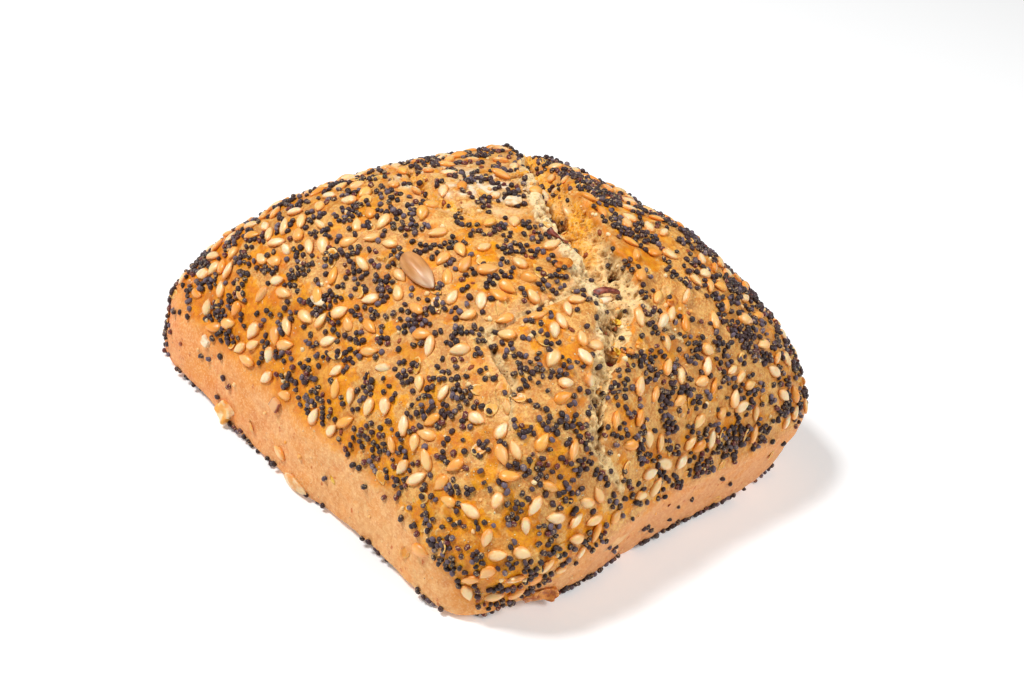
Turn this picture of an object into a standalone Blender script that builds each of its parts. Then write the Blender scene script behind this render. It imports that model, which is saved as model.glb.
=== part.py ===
"""A square seeded bread roll, as one solid: metres, +Z up, resting on its flat base.

The dough was cut square from a slab, so the roll is a rounded square in plan with low, nearly
upright cut sides. Its seeded top has risen into a dome, which meets the sides at the shoulder,
and has torn open across the middle. The seeds are too small to be modelled here.
"""

import math

import bmesh
import bpy
from mathutils import Vector, noise

MM = 0.001

# Plan, at the shoulder. The roll's sides lie along X and Y.
HALF_LENGTH = 43.9 * MM
HALF_WIDTH = 45.7 * MM
SQUARENESS = 6.0  # exponent of the outline: 2 is an ellipse, and more is squarer
# How far each corner reaches past that outline; the back right one is blunter.
CORNER_REACH = {(-1, -1): 2.0 * MM, (1, -1): 1.5 * MM, (1, 1): -6.5 * MM, (-1, 1): 0.0}
CORNER_BREADTH = 6  # higher keeps a corner's reach nearer its diagonal
LEAN = -0.04  # the dough was not cut quite square: how far it goes along X for each step along Y

# Heights and the dome. DOME_FALL sets where the top starts to fall, DOME_SHOULDER how round it ends.
TOP_HEIGHT = 44.5 * MM
SHOULDER_HEIGHT = 13.6 * MM
DOME_FALL = 3.0
DOME_SHOULDER = 0.85
DOME_SHIFT = Vector((1.0, -3.4)) * MM  # the highest point lies towards the front
CENTRE_ROUNDNESS = 2.0  # the outline's exponent in the middle of the dome

# Cut sides: how far each has drawn in at the base, and the rounding where they meet it.
BASE_INSET = {"left": 0.5 * MM, "right": 0.4 * MM, "front": 2.8 * MM, "back": 1.0 * MM}
BASE_REACH = {(-1, -1): 0.6 * MM, (-1, 1): 2.2 * MM}  # the base spreads again at these corners
BASE_ROUND = 1.5 * MM

# Tears in the top. Each station is x, y, the slope's width on the -X and on the +X side of the
# floor (behind and in front of it where a tear runs along X), and the depth, in millimetres.
MAIN_TEAR = (
    (26.0, 27.0, 5.0, 6.0, 0.0),
    (18.0, 15.0, 5.0, 6.0, 3.0),
    (11.5, 6.5, 4.4, 5.0, 3.6),
    (5.5, -1.0, 3.8, 5.5, 4.0),
    (0.5, -9.5, 3.8, 6.5, 4.2),
    (-1.2, -18.5, 4.2, 6.5, 3.6),
    (-4.5, -26.5, 4.0, 5.5, 2.2),
    (-9.5, -31.0, 3.2, 3.4, 1.7),
    (-14.5, -35.5, 3.0, 3.2, 1.5),
    (-18.0, -39.5, 3.0, 3.0, 1.2),
    (-14.5, -44.0, 3.0, 3.0, 0.0),
)
LEFT_TEAR = (
    (-3.0, -21.0, 3.5, 3.5, 0.0),
    (-12.0, -21.0, 3.4, 3.0, 1.2),
    (-20.0, -19.8, 3.2, 3.0, 1.3),
    (-25.5, -20.5, 3.2, 3.0, 1.4),
    (-27.0, -27.5, 3.0, 3.0, 1.4),
    (-31.0, -32.5, 3.0, 3.0, 0.0),
)
BACK_TEAR = (
    (-6.0, 25.0, 2.0, 2.5, 0.8),
    (-11.5, 15.0, 3.0, 3.5, 2.4),
    (-13.0, 7.5, 3.2, 3.5, 2.2),
    (-10.0, 0.0, 3.0, 3.0, 0.0),
)
TEARS = (MAIN_TEAR, LEFT_TEAR, BACK_TEAR)
RIM_RISE = 0.25  # a torn edge curls up by this share of the tear's depth
RIM_BREADTH = 3.5 * MM

# Unevenness of hand-made dough.
TOP_WAVE = 0.5 * MM
SIDE_WAVE = 0.35 * MM
WAVE_LENGTH = 14.0 * MM

# Mesh density.
TOP_SEGMENTS = 52
SIDE_HEIGHTS = (0.8, 0.6, 0.4, 0.22, 0.11, 0.04, 0.0)  # of SHOULDER_HEIGHT

CRUST_COLOUR = (0.62, 0.33, 0.11, 1.0)
CRUST_ROUGHNESS = 0.6


def clear_scene():
    for obj in list(bpy.data.objects):
        bpy.data.objects.remove(obj)


def smooth_step(value):
    value = min(max(value, 0.0), 1.0)
    return value * value * (3.0 - 2.0 * value)


def outline_radius(cosine, sine, exponent):
    """Distance from the middle to a unit superellipse, in the direction given."""
    return (abs(cosine) ** exponent + abs(sine) ** exponent) ** (-1.0 / exponent)


def corner_reach(cosine, sine, reaches):
    """How far the outline goes past its superellipse in this direction."""
    reach = 0.0
    for (x_sign, y_sign), length in reaches.items():
        towards = (x_sign * cosine + y_sign * sine) / math.sqrt(2.0)
        reach += length * max(towards, 0.0) ** CORNER_BREADTH
    return reach


def plan_point(u, v):
    """Maps a point of the unit square onto the roll's plan. Returns it with its ring, 0 to 1."""
    ring = max(abs(u), abs(v))
    if ring < 1e-9:
        return DOME_SHIFT.copy(), 0.0
    length = math.hypot(u, v)
    cosine, sine = u / length, v / length
    exponent = CENTRE_ROUNDNESS + (SQUARENESS - CENTRE_ROUNDNESS) * ring
    radius = outline_radius(cosine, sine, exponent) * ring
    reach = corner_reach(cosine, sine, CORNER_REACH) * ring**2
    shift = DOME_SHIFT * (1.0 - ring**2)
    x = cosine * (HALF_LENGTH * radius + reach) + shift.x
    y = sine * (HALF_WIDTH * radius + reach) + shift.y
    return Vector((x + LEAN * y, y)), ring


def dome_height(ring):
    rise = (1.0 - ring**DOME_FALL) ** DOME_SHOULDER
    return SHOULDER_HEIGHT + (TOP_HEIGHT - SHOULDER_HEIGHT) * rise


def nearest_station(point, tear):
    """The distance from the tear, positive on its +X or front side, and its values there."""
    best = None
    for start, end in zip(tear, tear[1:]):
        a, b = Vector(start[:2]) * MM, Vector(end[:2]) * MM
        along = b - a
        share = min(max((point - a).dot(along) / along.length_squared, 0.0), 1.0)
        offset = point - (a + along * share)
        if best is None or offset.length < abs(best[0]):
            # The tears run forward or to -X, so a positive cross product is the +X or front side.
            side = 1.0 if along.x * offset.y - along.y * offset.x > 0.0 else -1.0
            values = [p + (q - p) * share for p, q in zip(start[2:], end[2:])]
            best = (offset.length * side, *(value * MM for value in values))
    return best


def tear_height(point):
    """How much the tears raise or lower the top at this point of the plan."""
    change = 0.0
    for tear in TEARS:
        distance, left, right, depth = nearest_station(point, tear)
        width = right if distance > 0.0 else left
        beyond = abs(distance) - width
        drop = depth * (1.0 - smooth_step(abs(distance) / width))
        rim = depth * RIM_RISE * math.exp(-((beyond / RIM_BREADTH) ** 2))
        change = min(change, -drop) if beyond < 0.0 else change
        change += rim
    return change


def wave(point, seed):
    return noise.noise(Vector((*point, seed)) / WAVE_LENGTH)


def add_top(mesh):
    """The domed top, as a grid whose border is the shoulder."""
    bmesh.ops.create_grid(mesh, x_segments=TOP_SEGMENTS, y_segments=TOP_SEGMENTS, size=1.0)
    for vertex in mesh.verts:
        point, ring = plan_point(vertex.co.x, vertex.co.y)
        unevenness = (tear_height(point) + TOP_WAVE * wave(point, 0.0)) * (1.0 - ring**8)
        vertex.co = (point.x, point.y, dome_height(ring) + unevenness)


def side_point(shoulder, height_share):
    """Where the side lies below a point of the shoulder, at that share of the shoulder's height."""
    height = SHOULDER_HEIGHT * height_share
    fall = 1.0 - height_share
    side_x = "left" if shoulder.x < 0.0 else "right"
    side_y = "front" if shoulder.y < 0.0 else "back"
    inset = SIDE_WAVE * wave((shoulder.x + height, shoulder.y), 1.0) * math.sin(math.pi * fall)
    if height < BASE_ROUND:
        inset += BASE_ROUND - math.sqrt(BASE_ROUND**2 - (BASE_ROUND - height) ** 2)
    x = shoulder.x * (1.0 - (inset + BASE_INSET[side_x] * fall) / HALF_LENGTH)
    y = shoulder.y * (1.0 - (inset + BASE_INSET[side_y] * fall) / HALF_WIDTH)
    outward = shoulder.xy.normalized()
    spread = corner_reach(*outward, BASE_REACH) * fall
    return Vector((x + outward.x * spread, y + outward.y * spread, height))


def add_sides(mesh):
    """Extrudes the shoulder down to the base, one ring at a time, and closes the base flat."""
    border = [edge for edge in mesh.edges if edge.is_boundary]
    shoulder = {vertex: vertex.co.copy() for edge in border for vertex in edge.verts}
    for height_share in SIDE_HEIGHTS:
        made = bmesh.ops.extrude_edge_only(mesh, edges=border)["geom"]
        border = [item for item in made if isinstance(item, bmesh.types.BMEdge)]
        lower = [item for item in made if isinstance(item, bmesh.types.BMVert)]
        origin = {}
        for vertex in lower:
            above = next(e.other_vert(vertex) for e in vertex.link_edges if e not in border)
            origin[vertex] = shoulder[above]
            vertex.co = side_point(origin[vertex], height_share)
        shoulder = origin
        border = [edge for edge in border if edge.is_boundary]
    bmesh.ops.contextual_create(mesh, geom=border)


def centre_on_base(mesh):
    """Moves the roll so that its box is centred on the origin, with its base at zero height."""
    xs = [vertex.co.x for vertex in mesh.verts]
    ys = [vertex.co.y for vertex in mesh.verts]
    middle = Vector((min(xs) + max(xs), min(ys) + max(ys), 0.0)) / 2.0
    bmesh.ops.translate(mesh, verts=mesh.verts, vec=-middle)
    return middle


def crust_material():
    material = bpy.data.materials.new("crust")
    material.use_nodes = True
    shader = material.node_tree.nodes["Principled BSDF"]
    shader.inputs["Base Color"].default_value = CRUST_COLOUR
    shader.inputs["Roughness"].default_value = CRUST_ROUGHNESS
    shader.inputs["Metallic"].default_value = 0.0
    return material


def add_roll():
    mesh = bmesh.new()
    add_top(mesh)
    add_sides(mesh)
    bmesh.ops.recalc_face_normals(mesh, faces=mesh.faces)
    middle = centre_on_base(mesh)
    data = bpy.data.meshes.new("bread_roll")
    mesh.to_mesh(data)
    mesh.free()
    data.materials.append(crust_material())
    data.shade_smooth()
    data.set_sharp_from_angle(angle=math.radians(60.0))
    roll = bpy.data.objects.new("bread_roll", data)
    bpy.context.scene.collection.objects.link(roll)
    print("box centre before centring, mm:", [round(value / MM, 3) for value in middle])


clear_scene()
add_roll()
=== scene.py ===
# %% [markdown]
# # A seeded bread roll
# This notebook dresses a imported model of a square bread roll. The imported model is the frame: it gives
# the roll's true size and place, and what is made here rides on it.

# %% Load the frame
import math

import bpy
import numpy as np
from mathutils import Matrix, Vector, noise


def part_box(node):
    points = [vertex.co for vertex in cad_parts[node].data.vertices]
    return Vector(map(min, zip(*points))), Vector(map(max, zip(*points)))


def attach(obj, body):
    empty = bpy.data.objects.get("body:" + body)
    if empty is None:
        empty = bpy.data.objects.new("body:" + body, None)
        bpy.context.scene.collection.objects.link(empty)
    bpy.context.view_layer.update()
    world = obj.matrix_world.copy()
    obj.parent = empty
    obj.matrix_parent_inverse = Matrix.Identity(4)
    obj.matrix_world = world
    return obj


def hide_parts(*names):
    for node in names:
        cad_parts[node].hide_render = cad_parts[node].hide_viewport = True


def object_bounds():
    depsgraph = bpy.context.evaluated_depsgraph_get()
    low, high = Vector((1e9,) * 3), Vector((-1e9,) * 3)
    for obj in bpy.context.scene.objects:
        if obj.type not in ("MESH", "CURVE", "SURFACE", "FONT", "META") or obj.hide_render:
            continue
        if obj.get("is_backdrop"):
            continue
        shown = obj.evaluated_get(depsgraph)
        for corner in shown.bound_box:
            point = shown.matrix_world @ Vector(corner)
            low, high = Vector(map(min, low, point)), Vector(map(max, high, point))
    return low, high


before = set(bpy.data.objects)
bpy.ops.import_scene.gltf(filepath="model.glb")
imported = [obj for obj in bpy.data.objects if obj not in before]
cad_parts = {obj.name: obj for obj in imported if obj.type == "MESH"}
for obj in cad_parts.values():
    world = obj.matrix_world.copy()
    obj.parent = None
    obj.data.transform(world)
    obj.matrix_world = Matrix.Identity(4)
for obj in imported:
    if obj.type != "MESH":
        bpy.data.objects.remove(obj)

MM = 0.001
cad_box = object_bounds()
low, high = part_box("bread_roll")
print("roll, mm:", [round(side / MM, 1) for side in high - low])

# %% [markdown]
# ## Small helpers
# An operator works on everything that is selected, and loading leaves the frame's own solid selected.
# So each step first says which one object it is about.


# %% Helpers for objects
def only(piece):
    """Selects this object alone, and makes it the active one."""
    if bpy.context.mode != "OBJECT":
        bpy.ops.object.mode_set(mode="OBJECT")
    bpy.ops.object.select_all(action="DESELECT")
    piece.select_set(True)
    bpy.context.view_layer.objects.active = piece


def apply_modifier(piece, kind, **settings):
    """Adds a modifier with these settings and applies it at once."""
    only(piece)
    modifier = piece.modifiers.new(kind.title(), kind)
    for name, value in settings.items():
        setattr(modifier, name, value)
    bpy.ops.object.modifier_apply(modifier=modifier.name)


def pick(piece, chosen):
    """Selects just these vertices, ready for edit mode. Chosen is one truth value a vertex."""
    only(piece)
    for part in (piece.data.polygons, piece.data.edges):
        part.foreach_set("select", np.zeros(len(part), bool))
    piece.data.vertices.foreach_set("select", np.asarray(chosen, bool))
    bpy.context.tool_settings.mesh_select_mode = (True, False, False)


def in_edit_mode(operator, **settings):
    """Runs one operator on what is picked of the active object."""
    bpy.ops.object.mode_set(mode="EDIT")
    operator(**settings)
    bpy.ops.object.mode_set(mode="OBJECT")


def resize(piece, *times):
    """Makes a piece this many times as large along X, Y and Z, in its own mesh."""
    only(piece)
    piece.scale = times
    bpy.ops.object.transform_apply(location=True, rotation=True, scale=True)


def triangles(piece):
    piece.data.calc_loop_triangles()
    return len(piece.data.loop_triangles)


def keep(piece, material):
    """Gives a finished piece its material and its place on the frame, and says how big it is."""
    piece.data.materials.clear()
    piece.data.materials.append(material)
    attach(piece, "root")
    print(f"{piece.name}: {triangles(piece)} triangles")


# %% Helpers for meshes
def get_points(mesh):
    points = np.empty(len(mesh.vertices) * 3)
    mesh.vertices.foreach_get("co", points)
    return points.reshape(-1, 3)


def set_points(mesh, points):
    mesh.vertices.foreach_set("co", points.ravel())
    mesh.update()


def get_normals(mesh):
    normals = np.empty(len(mesh.vertices) * 3)
    mesh.vertex_normals.foreach_get("vector", normals)
    return normals.reshape(-1, 3)


def set_attribute(mesh, name, values):
    """Stores one number a vertex, which a material can read by name."""
    attribute = mesh.attributes.get(name) or mesh.attributes.new(name, "FLOAT", "POINT")
    attribute.data.foreach_set("value", np.asarray(values, np.float32))


def smooth_step(values, start=0.0, end=1.0):
    """0 up to start, 1 from end on, and a soft ramp between them."""
    share = np.clip((values - start) / (end - start), 0.0, 1.0)
    return share * share * (3.0 - 2.0 * share)


def noise_at(points, size, seed=0.0, octaves=1):
    """Smooth noise of about -1 to 1 at each point. Its lumps are about this size, in millimetres."""
    places = points / (size * MM) + np.array([seed * 17.3, seed * 5.1, seed * 9.7])
    if octaves == 1:
        return np.array([noise.noise(Vector(place)) for place in places])
    return np.array([noise.fractal(Vector(place), 1.0, 2.0, octaves) for place in places])


def cells_at(points, size, seed=0.0):
    """Distance from each point to the nearest of many scattered spots, as a share of their spacing."""
    places = points / (size * MM) + np.array([seed * 17.3, seed * 5.1, seed * 9.7])
    return np.array([noise.voronoi(Vector(place))[0][0] for place in places])


# %% [markdown]
# ## The roll's body
# A roll is one piece of dough, so it is one mesh. It starts as a copy of the frame's solid, because that
# has the right form. The copy is made of loose triangles, so they are merged before anything else. A
# voxel remesh then gives even, fine faces, which is what small relief needs.

# %% Copy, merge and remesh the solid
VOXEL = 0.66 * MM
BASE_FLAT = 0.15 * MM  # what lies lower than this is the base
BASE_KEPT = 0.78       # the share of all faces left once the flat base has been thinned

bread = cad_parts["bread_roll"].copy()
bread.data = bread.data.copy()
bread.name = "bread"
for key in list(bread.keys()):
    del bread[key]
bpy.context.scene.collection.objects.link(bread)
bread.parent = None
only(bread)
bpy.ops.object.mode_set(mode="EDIT")
bpy.ops.mesh.select_all(action="SELECT")
bpy.ops.mesh.remove_doubles(threshold=0.00001)
bpy.ops.mesh.normals_make_consistent(inside=False)
bpy.ops.object.mode_set(mode="OBJECT")
apply_modifier(bread, "REMESH", mode="VOXEL", voxel_size=VOXEL)
apply_modifier(bread, "SMOOTH", factor=0.6, iterations=9)
print("remeshed:", triangles(bread), "triangles")

# %% Thin the base
# The base is flat and rests on the table, so it can do with far fewer faces than the rest.
under = bread.vertex_groups.new(name="under")
flat = get_points(bread.data)[:, 2] < BASE_FLAT
under.add([int(index) for index in np.nonzero(flat)[0]], 1.0, "REPLACE")
apply_modifier(bread, "DECIMATE", ratio=BASE_KEPT, vertex_group="under")
bread.vertex_groups.clear()
print("thinned:", triangles(bread), "triangles")

# %% [markdown]
# ## Where the crust tore
# As the dough rose in the oven its skin split across the middle, and the split ran into creases at the
# front. Each tear is a line of a few stations. Every vertex can then ask how far it lies to the right
# of the nearest tear, and how wide and deep that tear is there. The edges and the floor follow from it.

# %% The tears
# A station is x, y, the distance to the left (-X or back) and to the right (+X or front) edge, and the
# extra depth, in millimetres.
MAIN_TEAR = np.array([
    (25.0, 26.0, 1.2, 1.6, 0.2),
    (17.0, 15.5, 2.2, 2.4, 0.8),
    (11.2, 7.2, 4.2, 3.2, 1.4),
    (6.0, 0.9, 5.4, 4.3, 1.9),
    (1.6, -7.9, 6.0, 5.0, 1.9),
    (0.3, -13.9, 6.6, 4.3, 1.5),
    (-0.6, -18.6, 7.2, 4.4, 1.2),
    (-1.8, -23.6, 6.6, 4.0, 0.9),
    (-4.8, -27.5, 4.4, 2.6, 0.8),
    (-11.0, -31.3, 2.0, 1.8, 1.2),
    (-14.6, -34.7, 1.8, 1.3, 1.1),
    (-18.4, -39.3, 1.6, 1.3, 1.1),
    (-16.6, -42.1, 0.9, 0.9, 0.6),
    (-14.2, -44.0, 0.5, 0.5, 0.0),
])
LEFT_TEAR = np.array([
    (-6.2, -20.7, 0.8, 1.0, 0.2),
    (-12.4, -20.5, 0.6, 0.6, 0.5),
    (-19.2, -19.4, 0.4, 0.4, 0.4),
    (-25.2, -18.6, 0.8, 0.8, 0.8),
    (-26.4, -22.7, 0.6, 0.6, 1.0),
    (-26.8, -27.1, 0.7, 0.7, 1.3),
    (-31.1, -32.1, 0.3, 0.3, 0.2),
])
FAR_TEAR = np.array([
    (9.6, 5.0, 1.2, 1.6, 0.2),
    (6.6, 6.4, 1.7, 1.7, 1.0),
    (3.6, 7.4, 1.5, 1.5, 1.2),
    (0.4, 8.4, 0.8, 0.8, 0.2),
])
BACK_TEAR = np.array([
    (-6.6, 24.9, 0.8, 0.8, 0.2),
    (-10.2, 17.4, 1.2, 1.6, 0.6),
    (-13.0, 9.9, 1.4, 1.8, 1.0),
    (-11.7, 2.3, 0.6, 0.8, 0.1),
])
RIGHT_CREASE = np.array([
    (0.8, -26.7, 0.5, 0.5, 0.0),
    (3.2, -30.1, 0.8, 0.8, 0.35),
    (6.2, -33.3, 0.4, 0.4, 0.0),
])
KERNEL_CREASE = np.array([
    (-27.4, 5.9, 0.4, 0.4, 0.0),
    (-26.4, 2.5, 0.8, 0.7, 0.8),
    (-25.4, -0.7, 0.4, 0.4, 0.1),
])
TEARS = (MAIN_TEAR, FAR_TEAR, LEFT_TEAR, BACK_TEAR, RIGHT_CREASE, KERNEL_CREASE)
TEARS_ABOVE = 14.0 * MM  # the tears all lie above this height
OUTSIDE = -99.0          # stands for a point that is in no tear


def across_tear(points, tear):
    """How far each point lies to the tear's right, which is +X or the front, and the tear's sizes there."""
    plan = points[:, :2] / MM
    best, right = np.full(len(plan), 1e9), np.zeros(len(plan))
    sizes = np.zeros((len(plan), 3))
    for start, end in zip(tear, tear[1:]):
        line = end[:2] - start[:2]
        share = np.clip((plan - start[:2]) @ line / np.hypot(*line) ** 2, 0.0, 1.0)
        offset = plan - start[:2] - share[:, None] * line
        distance = np.hypot(*offset.T)
        nearer = distance < best
        side = np.sign(line[0] * offset[:, 1] - line[1] * offset[:, 0])
        best = np.where(nearer, distance, best)
        right = np.where(nearer, distance * side, right)
        between = start[2:] + share[:, None] * (end - start)[2:]
        sizes = np.where(nearer[:, None], between, sizes)
    return right, *sizes.T


def torn(points):
    """How far inside a torn edge each point is, and how far right, the edge and the depth there."""
    ragged = 0.5 * noise_at(points, 1.6, 3.0) + 0.3 * noise_at(points, 0.7, 4.0)
    inside, facts = np.full(len(points), OUTSIDE), np.zeros((len(points), 3))
    for tear in TEARS:
        right, left_edge, right_edge, depth = across_tear(points, tear)
        edge = np.where(right > 0.0, right_edge, left_edge)
        inside_here = edge + ragged * np.clip(edge / 1.5, 0.4, 1.3) - np.abs(right)
        nearer = inside_here > inside
        inside = np.where(nearer, inside_here, inside)
        facts = np.where(nearer[:, None], np.stack([right, edge, depth], 1), facts)
    return np.where(points[:, 2] > TEARS_ABOVE, inside, OUTSIDE), facts


# %% [markdown]
# ## Finer faces in the tears
# Torn crumb has much finer relief than crust, so the faces in and near the tears are divided once more.
# Dividing the whole roll would cost many times as many faces for nothing.

# %% Divide the faces of the tears
def divide_where(piece, chosen):
    """Subdivides the faces whose vertices are all chosen."""
    pick(piece, chosen)
    in_edit_mode(bpy.ops.mesh.subdivide, number_cuts=1, smoothness=0.0)
    print("with finer tears:", triangles(piece), "triangles")


for margin in (-0.8, 0.5):
    divide_where(bread, torn(get_points(bread.data))[0] > margin)

# %% [markdown]
# ## Relief
# The crust gets gentle swells, small blisters and a fine grain. Inside the tears the skin has gone, so
# the crumb there has lumps and open pores, and the edge of the skin stands up beside it. All of it is
# real geometry: each vertex moves along its own normal, and straight down as well in a tear.

# %% Holes, dents and bulges
# x, y, half length, half width, turn in degrees, depth, in millimetres
BUBBLES = (
    (7.4, 1.4, 1.6, 0.9, 62, 2.0),
    (5.6, -3.2, 2.4, 1.1, 66, 2.6),
    (8.4, 3.4, 1.5, 0.9, 40, 1.4),
    (2.2, -19.2, 1.25, 0.95, 30, 2.0),
    (0.4, -16.6, 1.2, 0.7, 60, 1.6),
    (-3.2, -18.6, 1.5, 0.6, 75, 1.2),
    (-2.6, -25.6, 0.9, 0.6, 20, 1.2),
    (-9.4, -31.3, 1.7, 1.0, -55, 1.6),
    (-15.4, -35.8, 1.4, 0.7, 55, 1.0),
    (-25.6, -16.9, 1.0, 0.7, 10, 1.0),
    (-26.7, -24.6, 1.9, 0.5, 88, 1.6),
    (-29.6, -29.4, 1.0, 0.6, 60, 1.4),
    (4.2, 7.2, 2.0, 0.8, -15, 1.4),
    (-13.1, 10.3, 1.5, 0.8, 80, 1.6),
)
# x, y, z, reach, and how far out (or in, below 0), in millimetres
BULGES = (
    (-44.4, -1.5, 0.0, 4.5, 0.8),
    (-44.0, -20.0, 0.0, 11.0, -1.5),
    (-41.0, -37.5, 2.0, 5.0, 0.5),
    (-31.0, -44.5, 0.0, 6.5, -1.6),
    (-45.6, 28.0, 0.0, 8.0, -1.5),
    (18.0, 10.5, 40.5, 6.0, -2.2),
    (8.6, 13.0, 44.0, 5.5, -1.4),
    (21.0, -15.0, 41.0, 7.0, 0.8),
    (28.5, -30.0, 35.0, 7.0, -0.9),
    (-45.5, 36.0, 10.0, 6.0, 0.5),
)


def bubble_depth(points):
    """How deep the large bubbles' holes are at each point, in millimetres."""
    deep = np.zeros(len(points))
    wobble = 0.16 * noise_at(points, 0.8, 31.0)
    for x, y, long, wide, turn, depth in BUBBLES:
        across = points[:, :2] / MM - (x, y)
        c, s = math.cos(math.radians(turn)), math.sin(math.radians(turn))
        u = (across @ (c, s)) / long
        v = (across @ (-s, c)) / wide
        deep = np.maximum(deep, depth * (1.0 - smooth_step(np.hypot(u, v) + wobble, 0.45, 1.05)))
    return np.where(points[:, 2] > TEARS_ABOVE, deep, 0.0)


def bulge_height(points):
    """How far the dents and bulges move each point outwards, in millimetres."""
    out = np.zeros(len(points))
    for x, y, z, reach, far in BULGES:
        away = np.linalg.norm(points / MM - (x, y, z), axis=1)
        out += far * np.exp(-((away / reach) ** 2))
    return out


# %% How the crust and the crumb are shaped
def crust_relief(points, top_share):
    """Height of the crust's swells, blisters and grain above the plain form, in millimetres."""
    swell = 0.34 * noise_at(points, 9.0, 1.0) + 0.24 * noise_at(points, 3.4, 2.0)
    blister = 0.26 * smooth_step(1.0 - cells_at(points, 3.4, 5.0), 0.45, 0.95)
    pimple = 0.13 * smooth_step(1.0 - cells_at(points, 1.5, 32.0), 0.5, 0.9)
    grain = 0.10 * noise_at(points, 1.3, 6.0, octaves=2)
    pitted = smooth_step(noise_at(points, 4.0, 37.0), -0.1, 0.25)
    pit = 0.30 * (1.0 - smooth_step(cells_at(points, 2.0, 36.0), 0.08, 0.34)) * pitted
    # The seeds lie on the top, so its crust is a little lower than the whole.
    return swell + (blister + pimple - 0.35) * top_share - pit * (1.0 - top_share) + grain


def crumb_relief(points):
    """Height of the torn crumb's lumps, walls and pores, in millimetres."""
    bent = points + 0.4 * MM * np.stack([noise_at(points, 1.5, seed) for seed in (7.0, 7.3, 7.6)], 1)
    lumps = 0.85 * noise_at(points, 2.9, 8.0) + 0.42 * noise_at(points, 1.2, 8.5)
    large = 1.2 * (1.0 - smooth_step(cells_at(bent, 2.3, 9.0), 0.10, 0.45))
    large *= smooth_step(noise_at(points, 3.0, 10.0), -0.2, 0.25)
    small = 0.55 * (1.0 - smooth_step(cells_at(bent, 1.0, 15.0), 0.12, 0.5))
    tufts = 0.30 * noise_at(bent, 0.62, 16.0)
    return lumps + tufts - large - small + 0.2


# %% Move the vertices
points, normals = get_points(bread.data), get_normals(bread.data)
inside, facts = torn(points)
right, edge, depth = facts.T
crumb = smooth_step(inside, -0.12, 0.25)
on_right = smooth_step(right, -0.3, 0.3)
wide = np.clip(edge / (4.0 - on_right), 0.25, 1.2)
top_share = smooth_step(points[:, 2], 11.0 * MM, 17.0 * MM)
base_share = smooth_step(points[:, 2], 0.2 * MM, 1.2 * MM)

lip = np.exp(-((inside + 0.45) / 0.6) ** 2) * wide * (0.12 + 0.45 * on_right)
lip *= 0.8 + 0.8 * noise_at(points, 3.2, 11.0)
on_lip = smooth_step(-right, 0.40 * edge, 0.72 * edge) * smooth_step(edge, 1.4, 2.6) * crumb
step = smooth_step(inside, -0.12, 0.45) * wide * (0.34 + 0.70 * on_right) * (1.0 - 0.55 * on_lip)
floor_width = (0.25 + 0.10 * on_right) * edge + 0.35
floor = depth * np.exp(-(np.abs(right) / floor_width) ** 2) * smooth_step(inside, -0.5, 0.5)
floor *= 0.9 + 0.7 * noise_at(points, 2.2, 12.0)
drop = step + floor + bubble_depth(points)

crust_height, crumb_height = crust_relief(points, top_share), crumb_relief(points)
rise = crust_height * (1.0 - crumb) * base_share + bulge_height(points)
rise += crumb_height * crumb * np.clip(edge / 1.8, 0.35, 1.0) + lip
points += normals * rise[:, None] * MM
points[:, 2] -= drop * MM
points[:, 2] = np.maximum(points[:, 2], 0.0)
set_points(bread.data, points)
only(bread)
bpy.ops.object.shade_smooth()
print("deepest extra drop, mm:", round(float(drop.max()), 2))

# %% [markdown]
# ## What the materials need to know
# Some looks follow the form: cut sides stay pale, the shoulder browns first, and dough that was still
# stretching when the crust set is pale. Painted light follows the form as well: low places get painted
# shade, and the back of the top is painted paler, in part as a painted highlight. Each such fact is stored
# on the vertices for a material to read.

# %% Facts for the materials
def near_corner(points):
    """1 at the near corner, where the crust is folded under, and 0 far from it."""
    return np.exp(-((np.hypot(*(points[:, :2] / MM - (-35.0, -43.5)).T) / 12.5) ** 2))


def cut_height(points):
    """Height above which the crust was rolled in seeds."""
    return 14.6 - 12.4 * near_corner(points)


above_cut = points[:, 2] / MM + 0.9 * noise_at(points, 5.0, 14.0) - cut_height(points)
left_share = smooth_step(-points[:, 0], 18.0 * MM, 38.0 * MM)
shoulder = np.exp(-((above_cut - 5.0) / 6.5) ** 2)
near_tear = 0.62 * np.exp(-np.clip(-inside, 0.0, None) / 3.0) * (1.0 - 0.8 * on_right)
near_tear *= 0.9 + 0.7 * noise_at(points, 1.8, 38.0)
# The valley beside the tear's left lip, where the crumb gets painted shade.
valley_shade = np.exp(-((right + 0.25 * edge) / (0.3 * edge + 0.3)) ** 2)
# The back of the top is painted paler: its crust flakes there, and the paleness is in part a painted
# highlight.
lit_and_flaking_back_top = np.exp(-((np.hypot(*(points[:, :2] / MM - (-4.0, 11.0)).T) / 15.0) ** 2))
flaking = 0.85 + 0.8 * noise_at(points, 5.0, 34.0) + 1.0 * noise_at(points, 1.8, 38.0)
near_tear = np.maximum(near_tear, lit_and_flaking_back_top * (1.0 - crumb) * flaking)
bake = 0.5 + 0.5 * noise_at(points, 15.0, 13.0, octaves=2)
far_left = left_share * smooth_step(points[:, 1], -26.0 * MM, 8.0 * MM)
bake = bake * 0.7 + 0.7 * shoulder * (0.30 + 0.20 * left_share + 0.5 * far_left) - 0.35 * near_tear
far_right = smooth_step(points[:, 0] - 0.5 * points[:, 1], 5.0 * MM, 30.0 * MM)
bake += 0.18 * far_left + 0.35 * near_corner(points) * (points[:, 2] < 20.0 * MM) - 0.30 * far_right
toasted = smooth_step(points[:, 1], -22.0 * MM, -8.0 * MM) * smooth_step(right, -1.2, 1.2)
toasted = np.maximum(toasted, smooth_step(points[:, 1], -1.0 * MM, 4.0 * MM))
toasted *= 0.8 + 0.5 * noise_at(points, 3.0, 33.0)
# Painted shade and light in the crumb: darker in its pores, bubble holes and the valley by the left lip,
# paler on its lumps.
crumb_shade_level = 0.66 + 0.50 * crumb_height - 0.32 * bubble_depth(points) - 0.24 * valley_shade
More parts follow.
